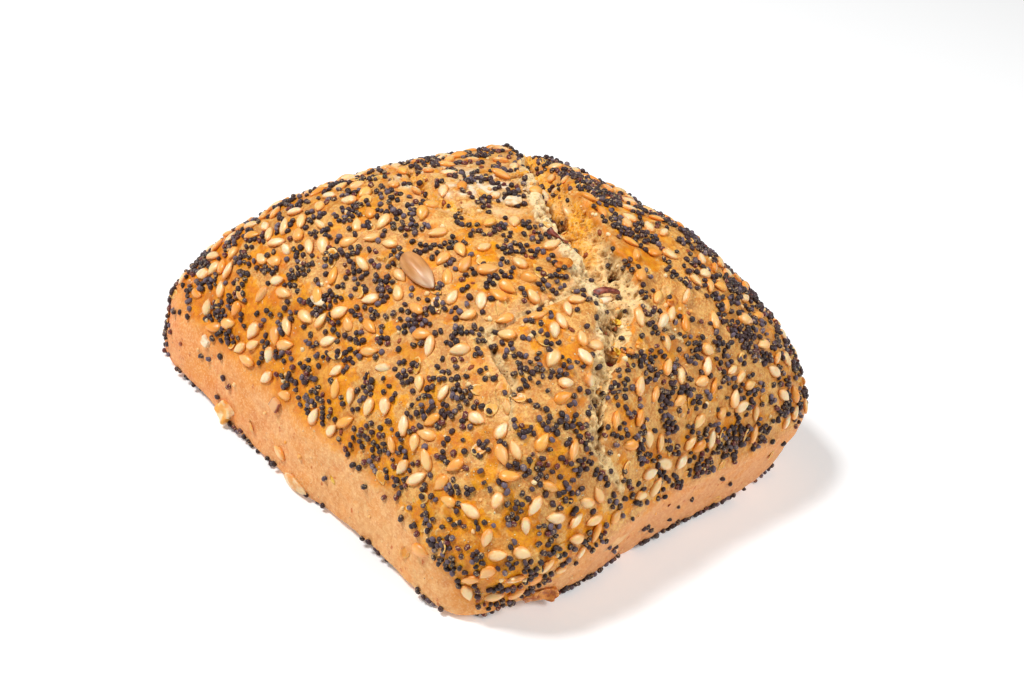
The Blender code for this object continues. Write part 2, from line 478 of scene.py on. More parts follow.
material_facts = {
    "crumb": crumb,
    "side": 1.0 - smooth_step(above_cut, -1.6, 1.4),
    "bake": np.where(crumb > 0.5, toasted, bake),
    "rim": np.exp(-((inside + 0.12) / 0.36) ** 2) * on_right * np.clip(edge / 2.5, 0.0, 1.0),
    # The height carries painted shade: the material paints low crust and crumb darker.
    "height": np.where(crumb > 0.5, crumb_shade_level, 0.5 + 0.9 * (crust_height + 0.2 * top_share)),
    "pale": np.where(crumb > 0.5, on_lip * (0.95 + 0.5 * noise_at(points, 2.0, 35.0)), near_tear),
    "warmth": smooth_step(points[:, 1] / MM - points[:, 2] / MM, -30.0, 34.0),
}
for fact, values in material_facts.items():
    set_attribute(bread.data, fact, np.clip(values, 0.0, 1.0))


# %% [markdown]
# ## Materials
# A colour is picked as it looks on a screen, but Blender's sockets take linear light, so each is turned
# into that first. Patterns read Object coordinates: every piece stays at the origin, so they stay put.

# %% Helpers for materials
def colour(red, green, blue):
    """A screen colour of 0 to 255 a channel, as the linear one that a socket takes."""
    channels = (value / 255.0 for value in (red, green, blue))
    linear = [c / 12.92 if c <= 0.04045 else ((c + 0.055) / 1.055) ** 2.4 for c in channels]
    return (*linear, 1.0)


class Recipe:
    """A material being built, one node at a time.

    Glow is how much light goes in and comes out again: its share, how far green and blue travel beside
    red's 1, and the depth in millimetres.
    """

    def __init__(self, name, roughness=0.6, glow=None, **sockets):
        self.material = bpy.data.materials.new(name)
        self.material.use_nodes = True
        self.tree = self.material.node_tree
        self.shader = self.tree.nodes["Principled BSDF"]
        sockets["Roughness"] = roughness
        if glow:
            share, green, blue, depth = glow
            sockets |= {"Subsurface_Weight": share, "Subsurface_Radius": (1.0, green, blue),
                        "Subsurface_Scale": depth * MM}
        for socket, value in sockets.items():
            self.shader.inputs[socket.replace("_", " ")].default_value = value
        self.place = self.node("ShaderNodeTexCoord").outputs["Object"]

    def node(self, kind, **settings):
        made = self.tree.nodes.new(kind)
        for name, value in settings.items():
            setattr(made, name, value)
        return made

    def link(self, value, socket):
        if isinstance(value, bpy.types.NodeSocket):
            self.tree.links.new(value, socket)
        else:
            socket.default_value = value

    def stretched(self, x, y, z):
        """The places, squeezed by these factors, so that a pattern read there is stretched instead."""
        made = self.node("ShaderNodeMapping", vector_type="POINT")
        self.link(self.place, made.inputs["Vector"])
        made.inputs["Scale"].default_value = (x, y, z)
        return made.outputs["Vector"]

    def attribute(self, name):
        return self.node("ShaderNodeAttribute", attribute_name=name).outputs["Fac"]

    def axis(self, which):
        """The place along one axis: 0, 1 or 2 for X, Y or Z."""
        made = self.node("ShaderNodeSeparateXYZ")
        self.link(self.place, made.inputs[0])
        return made.outputs[which]

    def noise(self, size, detail=2.0, roughness=0.5, seed=0.0, place=None):
        """Noise with lumps of about this size, in millimetres."""
        made = self.node("ShaderNodeTexNoise", noise_dimensions="4D")
        self.link(place or self.place, made.inputs["Vector"])
        self.link(seed, made.inputs["W"])
        self.link(1.0 / (size * MM), made.inputs["Scale"])
        self.link(detail, made.inputs["Detail"])
        self.link(roughness, made.inputs["Roughness"])
        return made.outputs["Fac"]

    def cells(self, size, seed=0.0, place=None):
        """Distance to the nearest of many scattered spots, which lie about this many millimetres apart."""
        made = self.node("ShaderNodeTexVoronoi", voronoi_dimensions="4D")
        self.link(place or self.place, made.inputs["Vector"])
        self.link(seed, made.inputs["W"])
        self.link(1.0 / (size * MM), made.inputs["Scale"])
        return made.outputs["Distance"]

    def ramp(self, value, start, end, low=0.0, high=1.0):
        """A soft ramp from low at start to high at end."""
        made = self.node("ShaderNodeMapRange", interpolation_type="SMOOTHSTEP")
        for socket, given in zip(made.inputs, (value, start, end, low, high)):
            self.link(given, socket)
        return made.outputs["Result"]

    def maths(self, operation, first, second=0.0):
        made = self.node("ShaderNodeMath", operation=operation)
        self.link(first, made.inputs[0])
        self.link(second, made.inputs[1])
        return made.outputs[0]

    def mix(self, share, first, second):
        """Goes from the first colour to the second: each is a socket, or three numbers of 0 to 255."""
        made = self.node("ShaderNodeMix", data_type="RGBA")
        self.link(share, made.inputs["Factor"])
        for given, socket in ((first, made.inputs[6]), (second, made.inputs[7])):
            self.link(colour(*given) if isinstance(given, tuple) else given, socket)
        return made.outputs[2]

    def layers(self, base, *given):
        """Lays colours over a base. Each is a value, the numbers of its ramp, and the colour."""
        for value, ramp, tint in given:
            base = self.mix(self.ramp(value, *ramp), base, tint)
        return base

    def bump(self, height, distance, strength=1.0, after=None):
        made = self.node("ShaderNodeBump")
        self.link(strength, made.inputs["Strength"])
        self.link(distance * MM, made.inputs["Distance"])
        self.link(height, made.inputs["Height"])
        if after is not None:
            self.link(after, made.inputs["Normal"])
        return made.outputs["Normal"]

    def finish(self, base, roughness=None, normal=None):
        self.link(base, self.shader.inputs["Base Color"])
        if roughness is not None:
            self.link(roughness, self.shader.inputs["Roughness"])
        if normal is not None:
            self.link(normal, self.shader.inputs["Normal"])
        return self.material


# %% [markdown]
# ### Crust and crumb
# Baked crust runs from honey to deep gold in patches, with a fine mottling and tiny pale blisters over
# them, and painted shade in its low places. The cut sides were pressed against the next roll, so they are
# paler and a little pink, with flecks of bran; painted shade darkens them away from the left end. Torn
# crumb is yellow where it faced the oven's heat and cream elsewhere. It has painted shade that grows darker
# the lower it lies, and it is painted paler on its lumps.

# %% The crust's patterns
crust = Recipe("crust", 0.6, Specular_IOR_Level=0.38, glow=(0.12, 0.45, 0.15, 0.9))
crumb_share, bake_share, side_share, rim_share, shade_by_height, pale_share, warmth = (
    crust.attribute(name) for name in ("crumb", "bake", "side", "rim", "height", "pale", "warmth"))
patches = crust.ramp(crust.noise(4.6, 4.0, 0.6), 0.40, 0.62)
mottle = crust.ramp(crust.noise(1.5, 4.0, 0.7, 1.0), 0.36, 0.64)
specks = crust.ramp(crust.noise(0.40, 2.0, 0.6, 2.0), 0.45, 0.62)
hollows = crust.ramp(crust.noise(0.55, 2.0, 0.6, 14.0), 0.36, 0.48, 1.0, 0.0)
dappled = crust.ramp(crust.noise(2.8, 2.0, 0.5, 8.0), 0.38, 0.60)
blisters = crust.ramp(crust.cells(0.70, seed=7.0), 0.12, 0.30, 1.0, 0.0)
blisters = crust.maths("MULTIPLY", blisters, dappled)
grime = crust.ramp(crust.cells(0.85, seed=12.0), 0.06, 0.20, 1.0, 0.0)

# %% The seeded crust
honey = crust.mix(mottle, (206, 130, 54), (240, 182, 102))
yellow_gold = crust.mix(mottle, (226, 128, 4), (250, 170, 18))
red_gold = crust.mix(mottle, (218, 110, 0), (246, 150, 0))
gold = crust.mix(warmth, yellow_gold, red_gold)
how_gold = crust.ramp(crust.maths("ADD", bake_share, crust.ramp(patches, 0.0, 1.0, -0.45, 0.45)), 0.2, 0.8)
skin = crust.mix(how_gold, honey, gold)
skin = crust.mix(crust.ramp(hollows, 0.0, 1.0, 0.0, 0.45), skin, (204, 110, 8))
floury = crust.maths("MULTIPLY", specks, crust.ramp(pale_share, 0.0, 1.0, 0.8, 1.4))
floury = crust.maths("MULTIPLY", floury, crust.ramp(how_gold, 0.0, 1.0, 1.0, 0.15))
# Pale dough by the tears; at the back of the top, this pale is in part a painted highlight.
skin = crust.layers(
    skin,
    (floury, (0.1, 1.0, 0.0, 0.55), (254, 214, 128)),
    (pale_share, (0.30, 1.0, 0.0, 0.70), (248, 214, 166)),
    (pale_share, (0.84, 1.0, 0.0, 0.7), (255, 238, 212)),
)
pits = crust.maths("MULTIPLY", grime, crust.ramp(pale_share, 0.2, 0.7, 0.25, 0.9))
skin = crust.mix(pits, skin, (176, 104, 34))
skin = crust.mix(crust.ramp(blisters, 0.0, 1.0, 0.0, 0.95), skin, (255, 236, 188))
amber = crust.ramp(crust.cells(3.6, seed=9.0), 0.22, 0.36, 1.0, 0.0)
amber = crust.maths("MULTIPLY", amber, crust.ramp(crust.noise(1.2, 2.0, 0.5, 9.0), 0.40, 0.55))
# Amber patches, then painted shade in the crust's low places.
skin = crust.layers(
    skin,
    (amber, (0.0, 1.0, 0.0, 0.6), (236, 138, 22)),
    (shade_by_height, (0.10, 0.50, 0.45, 0.0), (196, 116, 30)),
)

# %% The cut sides
drawn_down = crust.stretched(1.0, 1.0, 0.7)
streaks = crust.ramp(crust.noise(1.1, 4.0, 0.7, 3.0, drawn_down), 0.32, 0.68)
peach = crust.mix(streaks, (226, 152, 84), (244, 188, 122))
rosy = crust.mix(streaks, (226, 130, 66), (246, 170, 108))
cut = crust.mix(warmth, peach, rosy)
# Painted shade: the cut sides are painted deeper away from the left end, where less light falls, and darker
# in their low places.
cut = crust.layers(
    cut,
    (crust.axis(0), (-32.0 * MM, -14.0 * MM, 0.0, 0.5), (218, 130, 76)),
    (patches, (0.4, 1.0, 0.0, 0.45), (236, 150, 62)),
    (shade_by_height, (0.05, 0.35, 0.55, 0.0), (212, 110, 38)),
    (bake_share, (0.55, 0.95, 0.0, 0.7), (238, 150, 52)),
)
pores = crust.ramp(crust.cells(1.5, 3.0, crust.stretched(1.0, 1.0, 0.55)), 0.19, 0.30, 1.0, 0.0)
pores = crust.maths("MULTIPLY", pores, crust.ramp(crust.noise(3.2, 1.0, 0.5, 4.0), 0.44, 0.52))
cut = crust.mix(crust.ramp(pores, 0.0, 1.0, 0.0, 0.85), cut, (204, 96, 22))
flecks = crust.ramp(crust.cells(1.7, 11.0), 0.07, 0.11, 0.9, 0.0)
cut = crust.mix(flecks, cut, (104, 54, 32))
cut = crust.layers(
    cut,
    (hollows, (0.0, 1.0, 0.0, 0.14), (210, 112, 44)),
    (specks, (0.2, 1.0, 0.0, 0.34), (255, 220, 164)),
    (blisters, (0.4, 1.0, 0.0, 0.5), (255, 232, 184)),
)
base = crust.mix(side_share, skin, cut)

# %% The torn crumb
# Painted shade: the crumb is painted darker the lower it lies, nearly black in the deepest pores and holes,
# and paler on its lumps.
depth_shade = crust.ramp(shade_by_height, 0.15, 0.80)
soft = crust.mix(depth_shade, (150, 98, 38), (250, 212, 150))
toast = crust.mix(depth_shade, (166, 88, 0), (252, 176, 40))
soft = crust.mix(crust.ramp(bake_share, 0.2, 0.85), soft, toast)
lip_colour = crust.mix(depth_shade, (172, 124, 64), (250, 222, 172))
soft = crust.mix(crust.ramp(pale_share, 0.2, 0.8, 0.0, 0.85), soft, lip_colour)
soft = crust.layers(
    soft,
    (specks, (0.0, 1.0, 0.0, 0.40), (255, 228, 170)),
    (hollows, (0.0, 1.0, 0.0, 0.35), (178, 110, 24)),
    (shade_by_height, (0.0, 0.28, 0.95, 0.0), (60, 32, 2)),
)
base = crust.mix(crumb_share, base, soft)
browned = crust.maths("MULTIPLY", rim_share, crust.ramp(mottle, 0.0, 1.0, 1.0, 0.45))
base = crust.mix(crust.ramp(browned, 0.2, 0.9, 0.0, 0.75), base, (238, 142, 22))

# %% The crust's finish
fine = crust.bump(crust.noise(0.4, 3.0, 0.7, 2.0), 0.22, crust.ramp(side_share, 0.0, 1.0, 0.9, 0.5))
raised = crust.bump(blisters, 0.18, 0.9, fine)
open_pores = crust.ramp(crust.cells(0.6, 6.0), 0.05, 0.4)
rough = crust.bump(open_pores, 0.42, crust.ramp(crumb_share, 0.2, 0.9, 0.2, 0.9), raised)
crust_gloss = crust.ramp(specks, 0.0, 1.0, 0.34, 0.56)
crust_roughness = crust.ramp(crust.maths("MAXIMUM", crumb_share, side_share), 0.0, 1.0, 0.0, 0.3)
crust_material = crust.finish(base, crust.maths("ADD", crust_gloss, crust_roughness), rough)

keep(bread, crust_material)
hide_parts("bread_roll")


# %% [markdown]
# ## Seeds by the hundred
# Each kind of seed is modelled once. Its copies are then laid on the crust where the dough was rolled
# in seeds: their places are random, but thicker in some zones than in others, never inside each other,
# and each lies along the surface and is pressed a little way into it. All copies of a kind are one mesh.

# %% The surface that the seeds lie on
class Surface:
    """The bread's triangles, with what is needed to choose places on them."""

    def __init__(self, mesh):
        mesh.calc_loop_triangles()
        corners = np.empty(len(mesh.loop_triangles) * 3, np.int32)
        mesh.loop_triangles.foreach_get("vertices", corners)
        self.corners = corners.reshape(-1, 3)
        self.points, self.normals = get_points(mesh), get_normals(mesh)
        a, b, c = (self.points[self.corners[:, i]] for i in range(3))
        self.centres = (a + b + c) / 3.0
        self.areas = np.linalg.norm(np.cross(b - a, c - a), axis=1) / 2.0

    def draw(self, rng, density):
        """Random places and normals. Density is a number of seeds to a square millimetre, by triangle."""
        expected = self.areas / MM**2 * density
        count = rng.poisson(expected.sum())
        chosen = rng.choice(len(expected), count, p=expected / expected.sum())
        shares = rng.dirichlet((1.0, 1.0, 1.0), count)
        corners = self.corners[chosen]
        places = (self.points[corners] * shares[:, :, None]).sum(1)
        normals = (self.normals[corners] * shares[:, :, None]).sum(1)
        return places, normals / np.linalg.norm(normals, axis=1)[:, None]


surface = Surface(bread.data)
print("surface, square mm:", round(float(surface.areas.sum()) / MM**2))


# %% Places that don't overlap
class Spots:
    """Places already taken, kept in a grid of boxes so that neighbours are quick to find."""

    def __init__(self, box=2.5 * MM):
        self.box, self.taken = box, {}

    def key(self, place):
        return tuple(int(math.floor(value / self.box)) for value in place)

    def near(self, place):
        i, j, k = self.key(place)
        for x in (i - 1, i, i + 1):
            for y in (j - 1, j, j + 1):
                for z in (k - 1, k, k + 1):
                    yield from self.taken.get((x, y, z), ())

    def add(self, place, item):
        self.taken.setdefault(self.key(place), []).append((place, item))


# %% Turning and copying a seed
FULL_TURN = 2.0 * math.pi


def lie_on(normals, spins, tilts, rolls):
    """Rotations that lay each seed on its normal, spun, then tipped end up and rolled on its side."""
    side_way = np.cross(normals, (0.0, 0.0, 1.0))
    flat = np.linalg.norm(side_way, axis=1) < 1e-3
    side_way[flat] = (1.0, 0.0, 0.0)
    side_way /= np.linalg.norm(side_way, axis=1)[:, None]
    other = np.cross(normals, side_way)
    base = np.stack([side_way, other, normals], 2)
    turned = []
    for rotation, spin, tilt, roll in zip(base, spins, tilts, rolls):
        local = Matrix.Rotation(spin, 3, "Z") @ Matrix.Rotation(tilt, 3, "Y")
        turned.append(rotation @ np.array(local @ Matrix.Rotation(roll, 3, "X")))
    return np.array(turned)


def random_turns(rng, normals, tilt, roll):
    """Spun any way round, and tipped and rolled by about these angles, in radians."""
    count = len(normals)
    spins, tilts = rng.uniform(0.0, FULL_TURN, count), rng.normal(0.0, tilt, count)
    return lie_on(normals, spins, tilts, rng.normal(0.0, roll, count))


CLEAR_OF_FLOOR = 0.04 * MM  # no seed dips lower than this


def many(name, masters, kinds, places, rotations, sizes, facts):
    """One mesh of many copies. Each copy gets its own facts, such as its tone, on all its vertices."""
    vertices, faces, owner, start = [], [], [], 0
    shapes = [(get_points(m.data), [tuple(f.vertices) for f in m.data.polygons]) for m in masters]
    for index, (kind, place, rotation, size) in enumerate(zip(kinds, places, rotations, sizes)):
        shape, polygons = shapes[kind]
        copied = (shape * size) @ rotation.T + place
        copied[:, 2] += max(0.0, CLEAR_OF_FLOOR - copied[:, 2].min())
        vertices.append(copied)
        faces.extend(tuple(corner + start for corner in polygon) for polygon in polygons)
        owner.append(np.full(len(shape), index))
        start += len(shape)
    mesh = bpy.data.meshes.new(name)
    mesh.from_pydata(np.concatenate(vertices), [], faces)
    owner = np.concatenate(owner)
    for fact, values in facts.items():
        set_attribute(mesh, fact, np.asarray(values)[owner])
    local = np.concatenate([shapes[kind][0] / np.ptp(shapes[kind][0], axis=0) * 2.0 for kind in kinds])
    set_attribute(mesh, "lengthwise", local[:, 0] * 0.5 + 0.5)
    set_attribute(mesh, "rimward", np.hypot(local[:, 0], local[:, 1]))
    mesh.shade_smooth()
    piece = bpy.data.objects.new(name, mesh)
    bpy.context.scene.collection.objects.link(piece)
    return piece


def discard(*shapes):
    for shape in shapes:
        bpy.data.objects.remove(shape)


# %% [markdown]
# ### Sesame seeds
# A sesame seed is a flat teardrop, just over 3 mm long. A sphere is laid on its side, so that its rings
# are slices along the seed, and each slice is resized: narrow at the tip and broad past the middle.

# %% Model a sesame seed
def lying_sphere(name, segments, rings):
    """A sphere of width 1 whose poles lie along X."""
    only(bread)
    bpy.ops.mesh.primitive_uv_sphere_add(
        segments=segments, ring_count=rings, radius=0.5, rotation=(0.0, math.pi / 2, 0.0))
    sphere = bpy.context.object
    sphere.name = name
    bpy.ops.object.transform_apply(location=True, rotation=True, scale=True)
    return sphere


def ringed_seed(name, length, width, thickness, slices, segments):
    """A sphere along X, whose rings are then resized to these shares of their first size."""
    seed = lying_sphere(name, segments, len(slices) + 1)
    heights = sorted({round(vertex.co.x, 4) for vertex in seed.data.vertices})[1:-1]
    for height, (across, up) in zip(heights, slices):
        pick(seed, [abs(vertex.co.x - height) < 0.001 for vertex in seed.data.vertices])
        in_edit_mode(bpy.ops.transform.resize, value=(1.0, across, up), center_override=(height, 0.0, 0.0))
    resize(seed, length * MM, width * MM, thickness * MM)
    return seed


# Each slice, from the round end to the tip: its share of a sphere's width and thickness.
TEARDROP = ((1.15, 1.1), (1.10, 1.05), (1.02, 1.0), (0.85, 0.95), (0.60, 0.8), (0.38, 0.6))
SLIM = ((1.0, 1.0), (1.02, 1.0), (1.0, 1.0), (0.90, 0.95), (0.70, 0.85), (0.46, 0.65))
sesame_masters = [
    ringed_seed("teardrop", 3.35, 2.02, 1.02, TEARDROP, 10),
    ringed_seed("slim", 3.45, 1.80, 1.04, SLIM, 10),
    ringed_seed("plump", 3.10, 2.14, 1.16, TEARDROP, 10),
]
print("one sesame seed:", triangles(sesame_masters[0]), "triangles")

# %% Where the seeds are thick
# Each zone is x, y, how far it reaches, and how many times as thick the seeds lie there.
def zoned(points, zones):
    """The zones' effect at each point: 1 far from all of them."""
    effect = np.ones(len(points))
    for x, y, reach, times in zones:
        away = np.hypot(*(points[:, :2] / MM - (x, y)).T)
        effect *= 1.0 + (times - 1.0) * np.exp(-((away / reach) ** 2))
    return effect


SESAME_ZONES = (
    (-34.0, 26.0, 13.0, 2.4),   # the left corner
    (-22.0, 28.0, 14.0, 1.5),
    (-6.0, 20.0, 10.0, 1.3),
    (-14.0, -30.0, 8.0, 1.5),   # between the creases
    (14.0, -34.0, 14.0, 1.3),   # the front right
    (30.0, -24.0, 12.0, 1.3),
    (16.0, 2.0, 8.0, 1.5),      # beside the tear
    (-8.0, 8.0, 10.0, 1.3),
    (-28.0, -36.0, 9.0, 1.2),
    (-36.0, -8.0, 7.0, 0.5),
)
POPPY_ZONES = (
    (-38.0, -26.0, 8.0, 1.6),
    (-34.0, -39.0, 8.0, 1.7),
    (-33.0, 21.0, 9.0, 1.6),
    (-24.0, -29.0, 8.0, 1.5),
    (20.0, -8.0, 12.0, 2.6),    # right of the tear
    (14.0, 8.0, 9.0, 2.2),
    (25.0, -33.0, 14.0, 2.8),
    (36.0, -12.0, 13.0, 1.7),
    (-36.0, 32.0, 10.0, 2.6),   # the left corner
    (-24.0, 26.0, 10.0, 1.4),
    (-26.0, 6.0, 12.0, 1.6),
    (-30.0, -8.0, 9.0, 1.7),
    (-22.0, -40.0, 8.0, 1.6),   # the near corner
    (-4.0, -36.0, 10.0, 1.8),
    (-12.0, 22.0, 9.0, 1.4),
    (38.0, -36.0, 8.0, 1.3),
    (11.0, -29.0, 4.5, 0.35),
    (-10.0, -12.0, 10.0, 1.7),  # left of the tear
    (8.0, -40.0, 9.0, 1.3),
)

centre_points = surface.centres
above_here = centre_points[:, 2] / MM + 1.4 * noise_at(centre_points, 4.0, 21.0) - cut_height(centre_points)
seeded = smooth_step(above_here, -0.8, 1.6)
torn_here = smooth_step(torn(centre_points)[0], -0.6, 0.3)
on_side = (1.0 - seeded) * smooth_step(centre_points[:, 2], 2.5 * MM, 4.0 * MM)
on_edge = (1.0 - smooth_step(centre_points[:, 2], 1.2 * MM, 2.4 * MM)) * (centre_points[:, 2] > 0.25 * MM)

# %% Scatter the sesame seeds
rng = np.random.default_rng(11)
clumps = smooth_step(noise_at(centre_points, 6.0, 22.0), -0.35, 0.35)
density = 0.066 * seeded * (0.40 + clumps) * zoned(centre_points, SESAME_ZONES) * (1.0 - 0.9 * torn_here)
density += 0.0016 * on_side + 0.006 * on_edge
places, normals = surface.draw(rng, density)
drawn = len(places)
spins, tilts = rng.uniform(0.0, FULL_TURN, drawn), rng.normal(0.0, 0.10, drawn)
stands = rng.random(drawn) < 0.14  # a few seeds stand on their edge
rolls = np.where(stands, rng.normal(0.0, 0.8, drawn), rng.normal(0.0, 0.14, drawn))
sesame_turns = lie_on(normals, spins, tilts, rolls)
sesame_spots, kept = Spots(3.0 * MM), []


SESAME_REACH = 2.7, 1.75  # how far sesame seeds keep apart, lengthwise and sideways, in millimetres


def beside(seed, turn, place, long, wide):
    """Whether a place lies within an oval of this reach round a seed that is turned this way."""
    u, v, _ = turn.T @ (place - seed) / MM
    return (u / long) ** 2 + (v / wide) ** 2 < 1.0


def near_sesame(place, long, wide):
    """Whether a place lies within an oval of this reach round any sesame seed so far."""
    return any(beside(other, sesame_turns[item], place, long, wide)
               for other, item in sesame_spots.near(place))


for index, place in enumerate(places):
    reaches_one = any(beside(place, sesame_turns[index], other, *SESAME_REACH)
                      for other, _ in sesame_spots.near(place))
    if not reaches_one and not near_sesame(place, *SESAME_REACH):
        sesame_spots.add(place, index)
        kept.append(index)
count = len(kept)
raised = rng.uniform(0.14, 0.40, count) * MM
sesame_places = places[kept] + normals[kept] * raised[:, None]
kinds = rng.choice(len(sesame_masters), count, p=(0.5, 0.3, 0.2))
sizes = rng.normal(1.0, 0.07, count).clip(0.84, 1.15)
sesame = many("sesame_seeds", sesame_masters, kinds, sesame_places, sesame_turns[kept], sizes,
              {"tone": rng.random(count), "toast": rng.random(count)})
discard(*sesame_masters)
print(count, "sesame seeds")

# %% The sesame seeds' material
hull = Recipe("sesame", 0.38, glow=(0.4, 0.42, 0.14, 0.8), Coat_Weight=0.18, Coat_Roughness=0.25)
tone, toast, lengthwise, rimward = (
    hull.attribute(name) for name in ("tone", "toast", "lengthwise", "rimward"))
ivory = hull.mix(tone, (252, 226, 182), (250, 202, 134))
amber_hull = hull.mix(tone, (254, 190, 96), (242, 154, 54))
hull_colour = hull.mix(hull.ramp(toast, 0.40, 0.98), ivory, amber_hull)
# Painted shade: the hull is painted orange towards its edges, which turn away from the light; the tip is
# browner.
hull_colour = hull.layers(
    hull_colour,
    (rimward, (0.55, 1.0, 0.0, 0.85), (240, 150, 48)),
    (lengthwise, (0.86, 1.0, 0.0, 0.4), (210, 118, 40)),
)
blotch = hull.ramp(hull.noise(1.1, 3.0, 0.6), 0.48, 0.7, 0.0, 0.35)
hull_colour = hull.mix(blotch, hull_colour, (244, 168, 76))
ripple = hull.bump(hull.noise(0.45, 2.0, 0.5, 1.0), 0.05, 0.6)
keep(sesame, hull.finish(hull_colour, None, ripple))

# %% [markdown]
# ### Sesame skins
# Many seeds lost their kernel or sank in, and only a thin golden skin shows, like a shallow dish. The
# same teardrop is used, made flat, with the middle of its upper face pushed down.

# %% Model and scatter the skins
SKINS_APART = 1.9 * MM
skin_master = ringed_seed("skin", 3.2, 1.95, 0.62, TEARDROP, 12)
across = get_points(skin_master.data)
hollow = (across[:, 2] > 0.04 * MM) & (np.hypot(across[:, 0] / 1.6, across[:, 1] / 0.97) < 0.78 * MM)
pick(skin_master, hollow)
in_edit_mode(bpy.ops.transform.translate, value=(0.0, 0.0, -0.34 * MM))

rng = np.random.default_rng(13)
clumps = smooth_step(noise_at(centre_points, 8.0, 25.0), -0.3, 0.3)
density = 0.030 * seeded * (0.3 + clumps) * (1.0 - 0.7 * torn_here) + 0.003 * on_side
places, normals = surface.draw(rng, density)
skin_spots, kept = Spots(), []
for index, place in enumerate(places):
    others = [*sesame_spots.near(place), *skin_spots.near(place)]
    if all(np.linalg.norm(place - other) > SKINS_APART for other, _ in others):
        skin_spots.add(place, index)
        kept.append(index)
places, normals, count = places[kept], normals[kept], len(kept)
skin_places = places + normals * (rng.uniform(0.02, 0.2, count) * MM)[:, None]
skin_turns = random_turns(rng, normals, 0.16, 0.2)
sizes = rng.normal(0.95, 0.12, count).clip(0.7, 1.15)
skins = many("sesame_skins", [skin_master], np.zeros(count, int), skin_places, skin_turns, sizes,
             {"tone": rng.random(count)})
discard(skin_master)

husk = Recipe("sesame_skin", 0.34, glow=(0.35, 0.45, 0.12, 0.5))
skin_colour = husk.mix(husk.attribute("tone"), (238, 152, 34), (246, 182, 92))
skin_colour = husk.layers(
    skin_colour,
    (husk.attribute("rimward"), (0.6, 0.95, 0.0, 0.7), (252, 206, 130)),
    (husk.noise(0.9, 3.0), (0.45, 0.65, 0.0, 0.5), (228, 132, 24)),
)
keep(skins, husk.finish(skin_colour, None, husk.bump(husk.noise(0.35, 2.0), 0.06, 0.7)))
print(count, "sesame skins")

# %% [markdown]
# ### Poppy seeds
# A poppy seed is a millimetre long and shaped like a kidney. A low sphere is squashed, and the vertices
# along one side are pushed in to make the kidney's hollow. Thousands are needed, so it has few faces.

# %% Model a poppy seed
def poppy_seed(name, length, width, thickness, hollow):
    seed = lying_sphere(name, 8, 4)
    pick(seed, [vertex.co.y < -0.25 and abs(vertex.co.x) < 0.3 for vertex in seed.data.vertices])
    in_edit_mode(bpy.ops.transform.translate, value=(0.0, hollow, 0.0))
    resize(seed, length * MM, width * MM, thickness * MM)
    return seed


poppy_masters = [
    poppy_seed("kidney", 1.14, 0.97, 0.82, 0.16),
    poppy_seed("round", 1.06, 0.99, 0.86, 0.05),
]
print("one poppy seed:", triangles(poppy_masters[0]), "triangles")

# %% Scatter the poppy seeds
POPPIES_APART = 0.76 * MM
rng = np.random.default_rng(12)
clumps = smooth_step(noise_at(centre_points, 3.2, 23.0, octaves=2), -0.12, 0.34)
zones = zoned(centre_points, POPPY_ZONES)
density = 1.20 * seeded * (0.08 + 1.5 * clumps) * zones * (1.0 - 0.96 * torn_here)
front_share = smooth_step(-centre_points[:, 1], 36.0 * MM, 42.0 * MM)
from_corner = np.linalg.norm(centre_points[:, :2] / MM - (-44.0, 43.0), axis=1)
runs = (1.6 + 2.0 * front_share) * on_edge * smooth_step(noise_at(centre_points, 7.0, 24.0), -0.15, 0.15)
density += (0.016 + 0.9 * np.exp(-((from_corner / 5.0) ** 2))) * on_side + runs
places, normals = surface.draw(rng, density)
poppy_spots, kept = Spots(1.5 * MM), []
kernel_place, kernel_room = np.array((-25.2, -1.8)) * MM, np.array((2.2, 4.6)) * MM
for index, place in enumerate(places):
    crowded = any(np.linalg.norm(place - other) < POPPIES_APART for other, _ in poppy_spots.near(place))
    under_kernel = np.hypot(*((place[:2] - kernel_place) / kernel_room)) < 1.0
    if not crowded and not under_kernel and not near_sesame(place, 1.9, 1.2):
        poppy_spots.add(place, index)
        kept.append(index)
places, normals = places[kept], normals[kept]
count = len(places)
turns = random_turns(rng, normals, 0.35, 0.6)
sizes = rng.normal(1.0, 0.10, count).clip(0.76, 1.22)
raised = rng.uniform(0.12, 0.38, count) * MM
poppy_places = places + normals * raised[:, None]
poppy = many("poppy_seeds", poppy_masters, rng.choice(2, count), poppy_places, turns, sizes,
             {"tone": rng.random(count), "dust": rng.random(count)})
discard(*poppy_masters)
print(count, "poppy seeds")

# %% The poppy seeds' material
slate = Recipe("poppy", 0.30, Specular_IOR_Level=0.26)
tone, dust = slate.attribute("tone"), slate.attribute("dust")
dark = slate.mix(slate.ramp(tone, 0.0, 0.7), (12, 0, 1), (44, 10, 15))
dark = slate.layers(
    dark,
    (tone, (0.72, 1.0), (108, 94, 108)),
    (dust, (0.90, 0.92), (104, 18, 16)),
)
net = slate.ramp(slate.cells(0.20), 0.1, 0.45)
dark = slate.mix(slate.ramp(net, 0.5, 1.0, 0.0, 0.20), dark, (132, 112, 112))
crusted = slate.ramp(slate.noise(0.32, 2.0, 0.6, 1.0), 0.54, 0.62)
crusted = slate.maths("MULTIPLY", crusted, slate.ramp(dust, 0.42, 0.75, 0.0, 0.85))
dark = slate.mix(crusted, dark, (204, 172, 126))
pits = slate.bump(net, 0.06, 0.9)
keep(poppy, slate.finish(dark, None, pits))

# %% [markdown]
# ## The single pieces
# A few larger bits are baked in once each: a shelled sunflower kernel, flakes of bran and oat, husks, curls
# of crust, a linseed, chips of nut, and seeds at and under the skin of the sides. Each is modelled lying at
# the origin with its narrow end along X. It is then laid where a line through the surface finds it.

# %% Laying one piece on the bread
TOP_DOWN, FROM_LEFT, FROM_FRONT = (0.0, 0.0, -1.0), (1.0, 0.0, 0.0), (0.0, 1.0, 0.0)
LINE_START = 60.0 * MM  # how far outside the spot the line starts
AROUND = 1.2            # the surface's slope is felt this far round the spot, in millimetres


